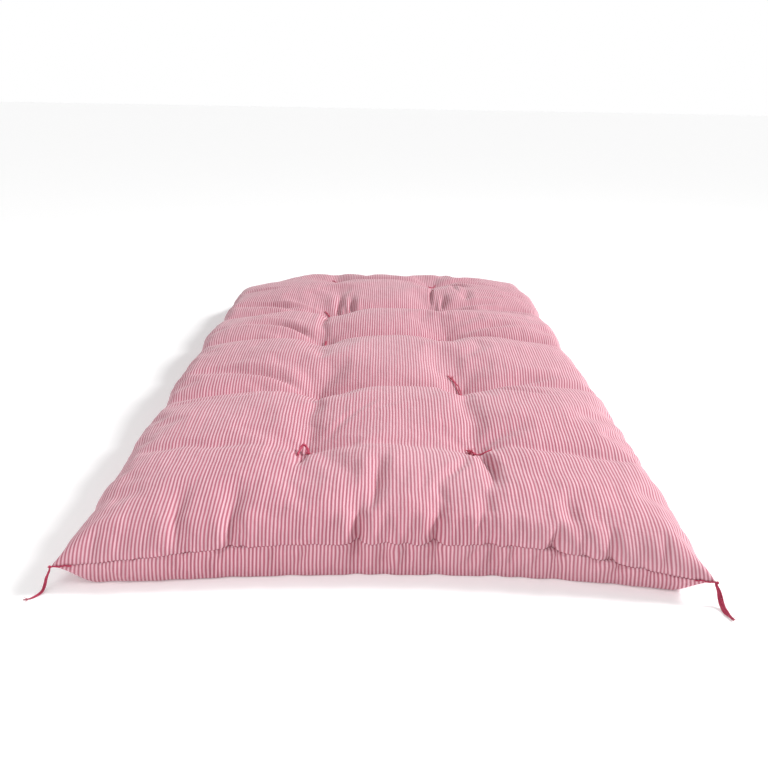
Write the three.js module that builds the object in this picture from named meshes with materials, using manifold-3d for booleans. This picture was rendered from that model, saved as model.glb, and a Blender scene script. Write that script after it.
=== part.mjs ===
// A tied cotton floor mattress in striped ticking, lying flat. Millimetres, +Z up.
// The origin is on the floor under the middle of the mattress, and its length runs along Y.
// It is one filled cover, ten yarn ties that hold the filling in a grid, and a yarn tassel at each corner.
import * as THREE from "three";
import { mergeVertices } from "three/addons/utils/BufferGeometryUtils.js";
import Module from "manifold-3d";

const wasm = await Module();
wasm.setup();

// Driving sizes
const WIDTH = 1000; // from corner tip to corner tip, across
const LENGTH = 2000; // from corner tip to corner tip, along
const CROWN = { front: 128, middle: 140, back: 124 }; // height of the filling between ties
const SEAM_HEIGHT = 60; // of the seam between the top and the under panel, along the edges
const TIP_HEIGHT = { left: 40, right: 32, back: 24 }; // of that seam at the tips; two at the front
const GAP = 0.3; // between pieces that touch
const SEATING = { steps: 8, reach: 20 }; // how often and from how far a piece is moved to that gap

// Edges: the cloth climbs from the seam round a nose, and then rises slowly over a shoulder
const NOSE = 58; // cloth length of the nose
const NOSE_SHARE = 0.62; // of the full height, reached at the top of the nose
const SHOULDER = 300; // cloth length over which the rest is reached
const NOSE_REACH = (2 / Math.PI) * NOSE; // how far inwards the nose reaches in plan
const SEAM_RISE = 300; // distance from a tip over which the seam reaches its height
const EARS = { along: 8, across: 3.3, back: 0.35 }; // how suddenly the edges run out to the tips
const END_DRAW = { depth: 30, x: 110, reach: 440 }; // how the two ends are drawn in towards their middle
const NOTCH = { depth: 9, width: 60 }; // where a row of ties pulls a long side in
const SOLE = { x: 52, y: 20 }; // how far the flat sole stays inside the seam
const THIN_TIP = 90; // distance from a tip over which the underside is a straight bevel
const SOLE_TURNS = [0.3, 0.58, 0.82, 1]; // rings between seam and sole, as shares of a quarter turn

// Stretches where the long sides stand out (or in, below 0) from an even line
const SIDES = [
  { y: -890, width: 70, left: -6, right: 0 },
  { y: -740, width: 80, left: -9, right: 0 },
  { y: -300, width: 80, left: 3, right: 12 },
  { y: 150, width: 170, left: 6, right: 0 },
  { y: 390, width: 70, left: 0, right: -13 },
  { y: 910, width: 120, left: -42, right: -2 },
];
// Places where the filling has sunk
const SAGS = [
  { x: -455, y: 935, width: 135, depth: 56 },
  { x: 450, y: 930, width: 150, depth: 8 },
];

// Ties, from the front row to the back; depth is below the filling's crown
const TIES = [
  { name: "tie_1_left", x: -140, y: -690, depth: 17, turn: 40 },
  { name: "tie_1_right", x: 164, y: -678, depth: 17, turn: 172 },
  { name: "tie_2_left", x: -145, y: -342, depth: 16, turn: 160 },
  { name: "tie_2_right", x: 168, y: -303, depth: 16, turn: 140 },
  { name: "tie_3_left", x: -161, y: 51, depth: 15, turn: 75 },
  { name: "tie_3_right", x: 160, y: 107, depth: 15, turn: 20 },
  { name: "tie_4_left", x: -158, y: 350, depth: 16, turn: 118 },
  { name: "tie_4_right", x: 138, y: 418, depth: 12, turn: 108 },
  { name: "tie_5_left", x: -167, y: 846, depth: 10, turn: 132 },
  { name: "tie_5_right", x: 158, y: 768, depth: 12, turn: 65 },
];
const DIMPLE = { width: 41, round: 0.22 };

// Valleys across the mattress, one for each row of ties; left and right are its y at the long sides
const ROWS = [
  { left: -700, right: -705, depth: 7 },
  { left: -400, right: -275, depth: 29 },
  { left: 20, right: 75, depth: 28 },
  { left: 300, right: 430, depth: 28 },
  { left: 790, right: 770, depth: 12 },
];
const ROW_VALLEY = { width: 64, round: 0.16, middle: 0.78, side: 0.6 };
// Valleys along the two columns, between a tie and the next
const COLUMN_DEPTHS = [
  { left: 12, right: 8 },
  { left: 7, right: 5 },
  { left: 11, right: 5 },
  { left: 8, right: 8 },
];
const COLUMN_VALLEY = { width: 42, round: 0.2, middle: 0.62 };

// Main folds: a trough from (x0, y0) to (x1, y1) with a soft ridge on either side. Where y1 lies past
// the end of the panel, the fold crosses the seam and runs on down the underside. bow is its
// sag to the left of that line, and peak the share of its length where it is deepest.
const FOLDS = [
  { x0: -4, y0: -700, x1: -22, y1: -965, bow: 0, depth: 8, width: 18, peak: 0.45 },
  { x0: -41, y0: -870, x1: -42, y1: -1050, bow: 0, depth: 11, width: 16, peak: 0.72 },
  { x0: 91, y0: -850, x1: 70, y1: -1045, bow: 3, depth: 10, width: 16, peak: 0.75 },
  { x0: 164, y0: -688, x1: 166, y1: -890, bow: 15, depth: 10, width: 17, peak: 0.25 },
  { x0: 166, y0: -860, x1: 150, y1: -985, bow: 0, depth: 6, width: 17, peak: 0.4 },
  { x0: -152, y0: -688, x1: -150, y1: -810, bow: 2, depth: 8, width: 18, peak: 0.25 },
  { x0: -239, y0: -840, x1: -236, y1: -1045, bow: 0, depth: 9, width: 17, peak: 0.65 },
  { x0: -316, y0: -820, x1: -308, y1: -1015, bow: -14, depth: 7, width: 18, peak: 0.6 },
  { x0: 288, y0: -860, x1: 297, y1: -975, bow: 0, depth: 7, width: 17, peak: 0.6 },
  { x0: 278, y0: -945, x1: 246, y1: -1035, bow: 0, depth: 9, width: 16, peak: 0.5 },
  { x0: 353, y0: -930, x1: 346, y1: -1040, bow: 0, depth: 7, width: 16, peak: 0.6 },
  { x0: 431, y0: -940, x1: 428, y1: -1015, bow: 0, depth: 5, width: 16, peak: 0.6 },
  { x0: 166, y0: -980, x1: 160, y1: -1045, bow: 0, depth: 7, width: 16, peak: 0.5 },
  { x0: -101, y0: -985, x1: -132, y1: -1045, bow: 0, depth: 6, width: 16, peak: 0.6 },
  { x0: -160, y0: -332, x1: -470, y1: -262, bow: -28, depth: 8, width: 22, peak: 0.3 },
  { x0: -160, y0: -340, x1: -470, y1: -480, bow: 22, depth: 6, width: 22, peak: 0.3 },
  { x0: 178, y0: -280, x1: 475, y1: -190, bow: -22, depth: 8, width: 22, peak: 0.3 },
  { x0: 178, y0: -298, x1: 475, y1: -420, bow: -20, depth: 6, width: 22, peak: 0.3 },
  { x0: -175, y0: 70, x1: -470, y1: 125, bow: -48, depth: 9, width: 21, peak: 0.35 },
  { x0: -175, y0: 46, x1: -470, y1: -70, bow: -18, depth: 7, width: 22, peak: 0.35 },
  { x0: 175, y0: 118, x1: 475, y1: 170, bow: 38, depth: 8, width: 21, peak: 0.35 },
  { x0: 175, y0: 96, x1: 475, y1: -10, bow: 18, depth: 6, width: 22, peak: 0.35 },
  { x0: -235, y0: 350, x1: -470, y1: 400, bow: -22, depth: 9, width: 21, peak: 0.3 },
  { x0: -185, y0: 328, x1: -470, y1: 215, bow: -20, depth: 7, width: 22, peak: 0.3 },
  { x0: 155, y0: 422, x1: 475, y1: 500, bow: 12, depth: 8, width: 21, peak: 0.3 },
  { x0: 155, y0: 402, x1: 475, y1: 330, bow: 18, depth: 6, width: 22, peak: 0.3 },
  { x0: -141, y0: 352, x1: -135, y1: 590, bow: 0, depth: 10, width: 18, peak: 0.3 },
  { x0: -104, y0: 355, x1: -108, y1: 540, bow: 0, depth: 9, width: 18, peak: 0.3 },
  { x0: 176, y0: 425, x1: 180, y1: 590, bow: 0, depth: 8, width: 18, peak: 0.3 },
  { x0: 238, y0: 450, x1: 250, y1: 650, bow: -6, depth: 9, width: 19, peak: 0.4 },
  { x0: 172, y0: 762, x1: 390, y1: 840, bow: 14, depth: 9, width: 20, peak: 0.25 },
  { x0: 168, y0: 745, x1: 275, y1: 620, bow: 24, depth: 9, width: 19, peak: 0.3 },
  { x0: 172, y0: 752, x1: 460, y1: 700, bow: 16, depth: 7, width: 22, peak: 0.3 },
  { x0: -188, y0: 818, x1: -450, y1: 760, bow: -16, depth: 7, width: 22, peak: 0.3 },
  { x0: -160, y0: 822, x1: -60, y1: 800, bow: 8, depth: 6, width: 20, peak: 0.3 },
  { x0: -60, y0: 840, x1: -66, y1: 985, bow: 0, depth: 2, width: 19, peak: 0.5 },
  { x0: 60, y0: 820, x1: 68, y1: 985, bow: 0, depth: 2, width: 19, peak: 0.5 },
  { x0: 240, y0: 840, x1: 252, y1: 985, bow: 0, depth: 2, width: 19, peak: 0.5 },
  { x0: -300, y0: 820, x1: -312, y1: 985, bow: 0, depth: 2, width: 19, peak: 0.5 },
];
const RIDGE = { share: 0.32, place: 1.9 }; // of a fold's depth and width

// Puckers that cross the seam at both ends, drawn in towards the filling; shallower at the back
const PUCKERS = [
  { x: -405, depth: 3, width: 18 },
  { x: -313, depth: 3, width: 18 },
  { x: -228, depth: 3, width: 18 },
  { x: -140, depth: 3, width: 18 },
  { x: -42, depth: 5, width: 17 },
  { x: 0, depth: 4, width: 18 },
  { x: 79, depth: 5, width: 17 },
  { x: 165, depth: 5, width: 18 },
  { x: 205, depth: 3, width: 17 },
  { x: 258, depth: 4, width: 18 },
  { x: 346, depth: 4, width: 17 },
  { x: 396, depth: 3, width: 18 },
];
const PUCKER_BACK = 0.15; // share of their depth there

// Grid of the top panel: close lines by the edges, and even ones between
const EDGE_LINES = [0, 9, 20, 33, 48, 66]; // cloth distance from the seam
const STEP_X = 22;
const STEP_Y = 26;

// Yarn of the ties; a tail runs from its knot at angle turn, and arch lifts the middle of a loop
const KNOT = { long: 13, wide: 8.5, high: 6.5, sides: 7, rings: 4 };
const TAIL = { radius: 1.6, steps: 4, sides: 3 };
const TAILS = [
  { tie: "tie_1_left", turn: 208, length: 25, arch: 15 },
  { tie: "tie_1_left", turn: 20, length: 12, arch: 0 },
  { tie: "tie_1_right", turn: -18, length: 28, arch: 0 },
  { tie: "tie_1_right", turn: 180, length: 16, arch: 0 },
  { tie: "tie_2_left", turn: 167, length: 41, arch: 0 },
  { tie: "tie_2_left", turn: 15, length: 10, arch: 0 },
  { tie: "tie_2_right", turn: 114, length: 60, arch: 0 },
  { tie: "tie_2_right", turn: 106, length: 52, arch: 0 },
  { tie: "tie_3_left", turn: 75, length: 20, arch: 0 },
  { tie: "tie_3_left", turn: 230, length: 14, arch: 0 },
  { tie: "tie_3_right", turn: 15, length: 15, arch: 0 },
  { tie: "tie_3_right", turn: 155, length: 13, arch: 0 },
  { tie: "tie_4_left", turn: 122, length: 36, arch: 0 },
  { tie: "tie_4_left", turn: 282, length: 14, arch: 0 },
  { tie: "tie_4_right", turn: 118, length: 15, arch: 10 },
  { tie: "tie_4_right", turn: 300, length: 11, arch: 0 },
  { tie: "tie_5_left", turn: 130, length: 22, arch: 0 },
  { tie: "tie_5_left", turn: 330, length: 14, arch: 0 },
  { tie: "tie_5_right", turn: 68, length: 19, arch: 0 },
  { tie: "tie_5_right", turn: 205, length: 15, arch: 0 },
];

// Corner tassels: side and end say which corner, out and away how far the strands reach over the floor
const TASSELS = [
  { name: "tassel_front_left", side: -1, end: -1, out: 31, away: 30 },
  { name: "tassel_front_right", side: 1, end: -1, out: 14, away: 56 },
  { name: "tassel_back_right", side: 1, end: 1, out: 34, away: 50 },
  { name: "tassel_back_left", side: -1, end: 1, out: 10, away: 54 },
];
const HEAD = { long: 11, radius: 3.6, sides: 7, rings: 4 };
const STRAND = { radius: 1.2, sides: 3, count: 5, steps: 8, fan: 13 };
const SEAM_STITCH = { radius: 1.5, sides: 3, steps: 5 };

const TICKING = new THREE.MeshStandardMaterial({ color: 0xd98c9c, roughness: 0.92, metalness: 0 });
const YARN = new THREE.MeshStandardMaterial({ color: 0xb5314f, roughness: 0.85, metalness: 0 });

const clamp = (v) => Math.min(Math.max(v, 0), 1);
const smooth = (v) => clamp(v) ** 2 * (3 - 2 * clamp(v));
const mix = (a, b, share) => a + (b - a) * share;
// 1 on the line or point of a hollow, falling to 0 over its width, with a rounded bottom
const hollow = (distance, { width, round }) => Math.exp(round - Math.hypot(distance / width, round));

// Share of the full height at a cloth distance from the seam
function rise(distance) {
  const nose = Math.sin((Math.PI / 2) * clamp(distance / NOSE));
  return NOSE_SHARE * nose + (1 - NOSE_SHARE) * smooth(distance / SHOULDER);
}

// How much shorter the cloth lies in plan, from the seam to that distance, because it climbs the nose
function takenUp(distance) {
  const turned = clamp(distance / NOSE);
  return turned * NOSE - NOSE_REACH * (1 - Math.cos((Math.PI / 2) * turned));
}

// y of a row's valley at x: through its two ties, and on to the long sides
function rowLine(row, left, right, x) {
  if (x < left.x) return mix(row.left, left.y, smooth((x + WIDTH / 2) / (left.x + WIDTH / 2)));
  if (x > right.x) return mix(right.y, row.right, smooth((x - right.x) / (WIDTH / 2 - right.x)));
  return mix(left.y, right.y, (x - left.x) / (right.x - left.x));
}

// A valley across is deepest at its ties, and shallower between them and at the sides
function rowShare(left, right, x) {
  if (x > left.x && x < right.x) {
    const between = (x - left.x) / (right.x - left.x);
    return 1 - (1 - ROW_VALLEY.middle) * Math.sin(Math.PI * between) ** 2;
  }
  const beyond = x < left.x ? (left.x - x) / (WIDTH / 2 + left.x) : (x - right.x) / (WIDTH / 2 - right.x);
  return 1 - (1 - ROW_VALLEY.side) * smooth(beyond);
}

function rowsAt(x, y) {
  return ROWS.reduce((sum, row, i) => {
    const [left, right] = [TIES[2 * i], TIES[2 * i + 1]];
    const away = y - rowLine(row, left, right, x);
    return sum + row.depth * rowShare(left, right, x) * hollow(away, ROW_VALLEY);
  }, 0);
}

function columnsAt(x, y) {
  let sum = 0;
  for (let i = 0; i + 2 < TIES.length; i++) {
    const [near, far] = [TIES[i], TIES[i + 2]];
    const along = clamp((y - near.y) / (far.y - near.y));
    const share = 1 - (1 - COLUMN_VALLEY.middle) * Math.sin(Math.PI * along) ** 2;
    const ends = smooth(6 * along) * smooth(6 * (1 - along));
    const away = x - mix(near.x, far.x, along);
    const depths = COLUMN_DEPTHS[Math.floor(i / 2)];
    sum += (i % 2 ? depths.right : depths.left) * share * ends * hollow(away, COLUMN_VALLEY);
  }
  return sum;
}

function foldAt(fold, x, y) {
  const [dx, dy] = [fold.x1 - fold.x0, fold.y1 - fold.y0];
  const long = Math.hypot(dx, dy);
  const along = ((x - fold.x0) * dx + (y - fold.y0) * dy) / long ** 2;
  if (along <= 0 || along >= 1) return 0;
  const across = ((y - fold.y0) * dx - (x - fold.x0) * dy) / long - fold.bow * 4 * along * (1 - along);
  const taper = along < fold.peak ? smooth(along / fold.peak) : smooth((1 - along) / (1 - fold.peak));
  const beside = Math.abs(across) / fold.width - RIDGE.place;
  const section = Math.exp(-((across / fold.width) ** 2)) - RIDGE.share * Math.exp(-(beside ** 2));
  return fold.depth * taper * section;
}

// How far the filled top lies below its crown at a point of the cloth, but for its folds
function reliefAt(x, y) {
  const dimples = TIES.reduce((sum, t) => sum + t.depth * hollow(Math.hypot(x - t.x, y - t.y), DIMPLE), 0);
  const sags = SAGS.reduce((sum, sag) => {
    return sum + sag.depth * Math.exp(-((Math.hypot(x - sag.x, y - sag.y) / sag.width) ** 2));
  }, 0);
  return dimples + sags + rowsAt(x, y) + columnsAt(x, y);
}

// How far an end lies inside a straight line at x: drawn in towards its middle, and in at each pucker
function endPull(back, x) {
  const puckers = PUCKERS.reduce((sum, p) => sum + p.depth * Math.exp(-(((x - p.x) / p.width) ** 2)), 0);
  const draw = END_DRAW.depth * clamp(1 - ((x - END_DRAW.x) / END_DRAW.reach) ** 2);
  return draw + (back ? PUCKER_BACK : 1) * puckers;
}

// How far a long side lies inside an even line at y: its notches less the stretches that stand out
function sidePull(left, y) {
  const notches = ROWS.reduce((sum, row) => {
    const away = y - (left ? row.left : row.right);
    return sum + (row.depth / ROWS[1].depth) * Math.exp(-((away / NOTCH.width) ** 2));
  }, 0);
  const stands = SIDES.reduce((sum, side) => {
    return sum + (left ? side.left : side.right) * Math.exp(-(((y - side.y) / side.width) ** 2));
  }, 0);
  return NOTCH.depth * notches - stands;
}

// Where a point of the top panel lies, for cloth coordinates x and y measured on the panel laid flat.
// A fold sinks into the crown, and over the nose into the side or end.
function topPoint(x, y) {
  const fromSide = WIDTH / 2 - Math.abs(x);
  const fromEnd = LENGTH / 2 - Math.abs(y);
  const sideEar = 1 - (y > 0 ? EARS.back : 1) * Math.abs((2 * y) / LENGTH) ** EARS.along;
  const endEar = 1 - Math.abs((2 * x) / WIDTH) ** EARS.across;
  const drawn = takenUp(NOSE);
  const nearSide = 1 - smooth(fromSide / (2 * NOSE));
  const nearEnd = 1 - smooth(fromEnd / (2 * NOSE));
  const folds = FOLDS.reduce((sum, fold) => sum + foldAt(fold, x, y), 0);
  const insetX = sideEar * (drawn - takenUp(fromSide) + nearSide * (sidePull(x < 0, y) + folds));
  const insetY = endEar * (drawn - takenUp(fromEnd) + nearEnd * (endPull(y > 0, x) + folds));

  const [riseX, riseY] = [rise(fromSide), rise(fromEnd)];
  const height = riseX && riseY ? 1 / Math.sqrt(riseX ** -2 + riseY ** -2 - 1) : 0;
  const [seamX, seamY] = [smooth(fromSide / SEAM_RISE), smooth(fromEnd / SEAM_RISE)];
  const front = x > 0 ? TIP_HEIGHT.right : TIP_HEIGHT.left;
  const tip = y > 0 ? TIP_HEIGHT.back : front;
  const seam = mix(tip, SEAM_HEIGHT, 1 - (1 - seamX) * (1 - seamY));
  const half = smooth(Math.abs((2 * y) / LENGTH));
  const crown = mix(CROWN.middle, y > 0 ? CROWN.back : CROWN.front, half);
  return new THREE.Vector3(
    x - Math.sign(x) * insetX,
    y - Math.sign(y) * insetY,
    mix(seam, crown - reliefAt(x, y) - folds, height),
  );
}

// Lines of the grid from one edge to the other, in cloth coordinates
function gridLines(size, step) {
  const inner = EDGE_LINES.at(-1);
  const count = Math.round((size - 2 * inner) / step);
  const lines = EDGE_LINES.map((edge) => edge - size / 2);
  for (let i = 1; i < count; i++) lines.push(mix(inner - size / 2, size / 2 - inner, i / count));
  return lines.concat(EDGE_LINES.map((edge) => size / 2 - edge).reverse());
}

const LINES_X = gridLines(WIDTH, STEP_X);
const LINES_Y = gridLines(LENGTH, STEP_Y);
const TOP_POINTS = LINES_Y.map((y) => LINES_X.map((x) => topPoint(x, y)));

// The filled cover: the top panel's grid, then rings that turn under from the seam to the flat sole
function coverGeometry() {
  const across = LINES_X.length;
  const points = TOP_POINTS.flat().map((p) => p.clone());
  const faces = [];
  for (let j = 0; j + 1 < LINES_Y.length; j++) {
    for (let i = 0; i + 1 < across; i++) {
      const [a, b] = [j * across + i, j * across + i + 1];
      const [c, d] = [b + across, a + across];
      if ((i + j) % 2) faces.push(a, b, c, a, c, d);
      else faces.push(a, b, d, b, c, d);
    }
  }

  const last = across - 1;
  const top = LINES_Y.length - 1;
  let ring = [];
  for (let i = 0; i < last; i++) ring.push(i);
  for (let j = 0; j < top; j++) ring.push(j * across + last);
  for (let i = last; i > 0; i--) ring.push(top * across + i);
  for (let j = top; j > 0; j--) ring.push(j * across);

  const seam = ring.map((index) => points[index]);
  for (const turn of SOLE_TURNS) {
    const angle = (turn * Math.PI) / 2;
    const inwards = 1 - Math.cos(angle);
    const inner = seam.map((p) => {
      const fromTip = Math.hypot(WIDTH / 2 - Math.abs(p.x), LENGTH / 2 - Math.abs(p.y));
      const left = mix(1 - inwards, 1 - Math.sin(angle), clamp(fromTip / THIN_TIP));
      const x = p.x * (1 - (inwards * SOLE.x) / (WIDTH / 2));
      const y = p.y * (1 - (inwards * SOLE.y) / (LENGTH / 2));
      points.push(new THREE.Vector3(x, y, turn === 1 ? 0 : p.z * left));
      return points.length - 1;
    });
    ring.forEach((upper, i) => {
      const next = (i + 1) % ring.length;
      faces.push(upper, inner[i], inner[next], upper, inner[next], ring[next]);
    });
    ring = inner;
  }

  const sole = ring.map((index) => new THREE.Vector2(points[index].x, points[index].y));
  for (const [a, b, c] of THREE.ShapeUtils.triangulateShape(sole, [])) faces.push(ring[a], ring[c], ring[b]);
  return new THREE.BufferGeometry().setFromPoints(points).setIndex(faces);
}

// Height of the cover's own facets at a point away from its edges, where cloth and plan agree
function facetHeight(x, y) {
  const i = LINES_X.findIndex((line) => line > x) - 1;
  const j = LINES_Y.findIndex((line) => line > y) - 1;
  const u = (x - LINES_X[i]) / (LINES_X[i + 1] - LINES_X[i]);
  const v = (y - LINES_Y[j]) / (LINES_Y[j + 1] - LINES_Y[j]);
  const [a, b] = [TOP_POINTS[j][i].z, TOP_POINTS[j][i + 1].z];
  const [d, c] = [TOP_POINTS[j + 1][i].z, TOP_POINTS[j + 1][i + 1].z];
  if ((i + j) % 2) return v < u ? a + (b - a) * u + (c - b) * v : a + (d - a) * v + (c - d) * u;
  return u + v < 1 ? a + (b - a) * u + (d - a) * v : c + (d - c) * (1 - u) + (b - c) * (1 - v);
}

// Lowest height at which something of that reach clears the facets by the gap
function clearHeight(x, y, reach) {
  const around = [0, 1, 2, 3, 4, 5, 6, 7].map((k) => (k * Math.PI) / 4);
  const heights = around.map((angle) => {
    return facetHeight(x + reach * Math.cos(angle), y + reach * Math.sin(angle));
  });
  return Math.max(facetHeight(x, y), ...heights) + GAP;
}

function solidOf(geometry) {
  const bare = geometry.index ? geometry.toNonIndexed() : geometry.clone();
  bare.deleteAttribute("normal");
  bare.deleteAttribute("uv");
  const merged = mergeVertices(bare, 1e-3);
  const vertProperties = merged.attributes.position.array;
  const triVerts = new Uint32Array(merged.index.array);
  return new wasm.Manifold(new wasm.Mesh({ numProp: 3, vertProperties, triVerts }));
}

function geometryOf(solid) {
  const mesh = solid.getMesh();
  return new THREE.BufferGeometry()
    .setAttribute("position", new THREE.BufferAttribute(mesh.vertProperties, 3))
    .setIndex(new THREE.BufferAttribute(mesh.triVerts, 1));
}

const coverSolid = solidOf(coverGeometry());

// Moves a piece along that direction until it lies the gap from the cover
function seated(solid, direction) {
  let placed = solid;
  for (let step = 0; step < SEATING.steps; step++) {
    const way = direction.clone().multiplyScalar(placed.minGap(coverSolid, SEATING.reach) - GAP);
    placed = placed.translate(way.toArray());
  }
  return placed;
}

// A length of yarn through those points, with the section's sides
function yarn(points, radius, sides, steps) {
  const section = new THREE.Shape(
    Array.from({ length: sides }, (_, k) => {
      const angle = (2 * Math.PI * (k + 0.5)) / sides;
      return new THREE.Vector2(radius * Math.cos(angle), radius * Math.sin(angle));
    }),
  );
  const path = new THREE.CatmullRomCurve3(points, false, "centripetal");
  return solidOf(new THREE.ExtrudeGeometry(section, { steps, bevelEnabled: false, extrudePath: path }));
}

// A knot on the cover with free ends that lie on the slopes round it
function tieGeometry({ name, x, y, turn }) {
  const seat = clearHeight(x, y, KNOT.long / 2);
  const knot = new THREE.SphereGeometry(0.5, KNOT.sides, KNOT.rings)
    .scale(KNOT.long, KNOT.wide, KNOT.high)
    .rotateZ(THREE.MathUtils.degToRad(turn))
    .translate(x, y, seat + KNOT.high / 2);
  let solid = solidOf(knot);
  for (const tail of TAILS.filter((t) => t.tie === name)) {
    const angle = THREE.MathUtils.degToRad(tail.turn);
    const points = [0, 0.3, 0.55, 0.8, 1].map((share) => {
      const out = 2 + share * tail.length;
      const [px, py] = [x + out * Math.cos(angle), y + out * Math.sin(angle)];
      const onSlope = clearHeight(px, py, 4) + TAIL.radius + 0.6;
      const inKnot = share === 0 ? seat + KNOT.high / 2 : 0;
      return new THREE.Vector3(px, py, Math.max(onSlope, inKnot) + tail.arch * Math.sin(Math.PI * share));
    });
    solid = solid.add(yarn(points, TAIL.radius, TAIL.sides, TAIL.steps));
  }
  return geometryOf(seated(solid, new THREE.Vector3(0, 0, -1)));
}

// Strands that hang from a corner tip and lie out over the floor, with the stitch that holds them in the seam
function tasselGeometry({ side, end, out, away }) {
  const corner = topPoint((side * WIDTH) / 2, (end * LENGTH) / 2);
  const outward = new THREE.Vector3(side, end, 0).normalize();
  const over = new THREE.Vector3(side * out, end * away, 0);
  const aside = new THREE.Vector3(-over.y, over.x, 0).normalize();
  const root = corner.clone().addScaledVector(outward, HEAD.radius + GAP + 1);
  const head = new THREE.SphereGeometry(1, HEAD.sides, HEAD.rings)
    .scale(HEAD.radius, HEAD.radius, HEAD.long / 2)
    .translate(root.x, root.y, root.z - 1);
  let solid = solidOf(head);

  const floor = STRAND.radius + GAP;
  for (let k = 0; k < STRAND.count; k++) {
    const fan = (k / (STRAND.count - 1) - 0.5) * STRAND.fan;
    const at = (share, height, spread) =>
      root.clone().addScaledVector(over, share).addScaledVector(aside, fan * spread).setZ(height);
    const lies = 0.86 + 0.14 * Math.cos(3 * k);
    const points = [
      at(0, root.z - 1, 0.25),
      at(0.06, mix(floor, root.z, 0.6), 0.45),
      at(0.12, mix(floor, root.z, 0.25), 0.7),
      at(0.28, floor + 1, 0.85),
      at(0.5, floor, 1),
      at(lies, floor, 1.2),
    ];
    solid = solid.add(yarn(points, STRAND.radius, STRAND.sides, STRAND.steps));
  }

  const along = EDGE_LINES.slice(0, 5).map((edge) => topPoint(side * (WIDTH / 2 - edge), (end * LENGTH) / 2));
  const clear = SEAM_STITCH.radius + GAP + 0.5;
  const stitch = along.map((p) => new THREE.Vector3(p.x, p.y + end * clear, p.z));
  stitch[0] = root.clone();
  solid = solid.add(yarn(stitch, SEAM_STITCH.radius, SEAM_STITCH.sides, SEAM_STITCH.steps));
  return geometryOf(seated(solid, outward.negate()));
}

function piece(name, geometry, material) {
  const mesh = new THREE.Mesh(geometry, material);
  mesh.name = name;
  return mesh;
}

const mattress = new THREE.Group();
mattress.add(piece("cover", geometryOf(coverSolid), TICKING));
for (const tie of TIES) mattress.add(piece(tie.name, tieGeometry(tie), YARN));
for (const tassel of TASSELS) mattress.add(piece(tassel.name, tasselGeometry(tassel), YARN));

export default mattress;
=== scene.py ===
"""A tied cotton floor mattress in striped ticking, lying flat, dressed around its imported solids.

Shapes are worked out in millimetres in the frame of the solids and put into meshes in metres.
"""

import bpy
import numpy as np
from mathutils import Matrix

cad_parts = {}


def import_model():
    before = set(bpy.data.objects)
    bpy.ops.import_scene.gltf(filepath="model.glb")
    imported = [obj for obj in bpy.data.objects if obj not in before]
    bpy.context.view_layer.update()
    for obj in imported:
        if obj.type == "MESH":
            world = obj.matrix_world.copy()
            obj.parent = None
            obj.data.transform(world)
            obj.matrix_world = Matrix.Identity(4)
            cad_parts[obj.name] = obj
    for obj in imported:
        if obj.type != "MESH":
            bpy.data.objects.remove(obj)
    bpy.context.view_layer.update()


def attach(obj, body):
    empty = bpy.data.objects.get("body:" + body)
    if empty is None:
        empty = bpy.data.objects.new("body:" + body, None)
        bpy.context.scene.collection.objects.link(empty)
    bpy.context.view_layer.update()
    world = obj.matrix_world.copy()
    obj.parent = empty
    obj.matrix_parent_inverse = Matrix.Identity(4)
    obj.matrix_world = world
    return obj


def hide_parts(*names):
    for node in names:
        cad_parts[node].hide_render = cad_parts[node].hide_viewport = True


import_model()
bpy.context.scene.view_settings.view_transform = "Standard"

MM = 0.001

# Sizes of the mattress, as in its solids

WIDTH, LENGTH = 1000.0, 2000.0
CROWN_FRONT, CROWN_MIDDLE, CROWN_BACK = 128.0, 140.0, 124.0
SEAM_HEIGHT = 60.0
TIP_LEFT, TIP_RIGHT, TIP_BACK = 40.0, 32.0, 24.0
NOSE, NOSE_SHARE, SHOULDER = 58.0, 0.62, 300.0
NOSE_REACH = 2 / np.pi * NOSE
SEAM_RISE = 300.0
EAR_ALONG, EAR_ACROSS, EAR_BACK = 8.0, 3.3, 0.35
END_DRAW, END_DRAW_X, END_DRAW_REACH = 30.0, 110.0, 440.0
NOTCH_DEPTH, NOTCH_WIDTH = 9.0, 60.0
SOLE_X, SOLE_Y = 52.0, 20.0
THIN_TIP = 90.0
UNDER_NOSE = 72.0  # cloth length over which the under panel turns to the floor
UNDER_FADE = 260.0  # cloth length over which the shape of the seam dies away under it
FOLD_UNDER = 110.0  # how far the folds that cross the seam run on under it

# Long sides: y, width, left, right
SIDES = [
    (-890, 70, -6, 0),
    (-740, 80, -9, 0),
    (-300, 80, 3, 12),
    (150, 170, 6, 0),
    (390, 70, 0, -13),
    (910, 120, -42, -2),
]
# Sunken filling: x, y, width, depth
SAGS = [(-455, 935, 135, 56), (450, 930, 150, 8)]
# Ties, two in a row: x, y, depth
TIES = {
    "tie_1_left": (-140, -690, 17),
    "tie_1_right": (164, -678, 17),
    "tie_2_left": (-145, -342, 16),
    "tie_2_right": (168, -303, 16),
    "tie_3_left": (-161, 51, 15),
    "tie_3_right": (160, 107, 15),
    "tie_4_left": (-158, 350, 16),
    "tie_4_right": (138, 418, 12),
    "tie_5_left": (-167, 846, 10),
    "tie_5_right": (158, 768, 12),
}
TIE_PLACES = list(TIES.values())
DIMPLE = (41.0, 0.22)
# Valleys across: y at the left side, y at the right side, depth
ROWS = [(-700, -705, 7), (-400, -275, 29), (20, 75, 28), (300, 430, 28), (790, 770, 12)]
ROW_VALLEY, ROW_CREASE = (72.0, 0.25), (14.0, 0.25)
ROW_CREASE_SHARE = 0.3
ROW_MIDDLE, ROW_SIDE = 0.78, 0.6
# Valleys along the two columns, from tie to tie: depth on the left, on the right
COLUMN_DEPTHS = [(12, 8), (7, 5), (11, 5), (8, 8)]
COLUMN_VALLEY = (42.0, 0.2)
COLUMN_MIDDLE, COLUMN_EASE = 0.62, 6

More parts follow.
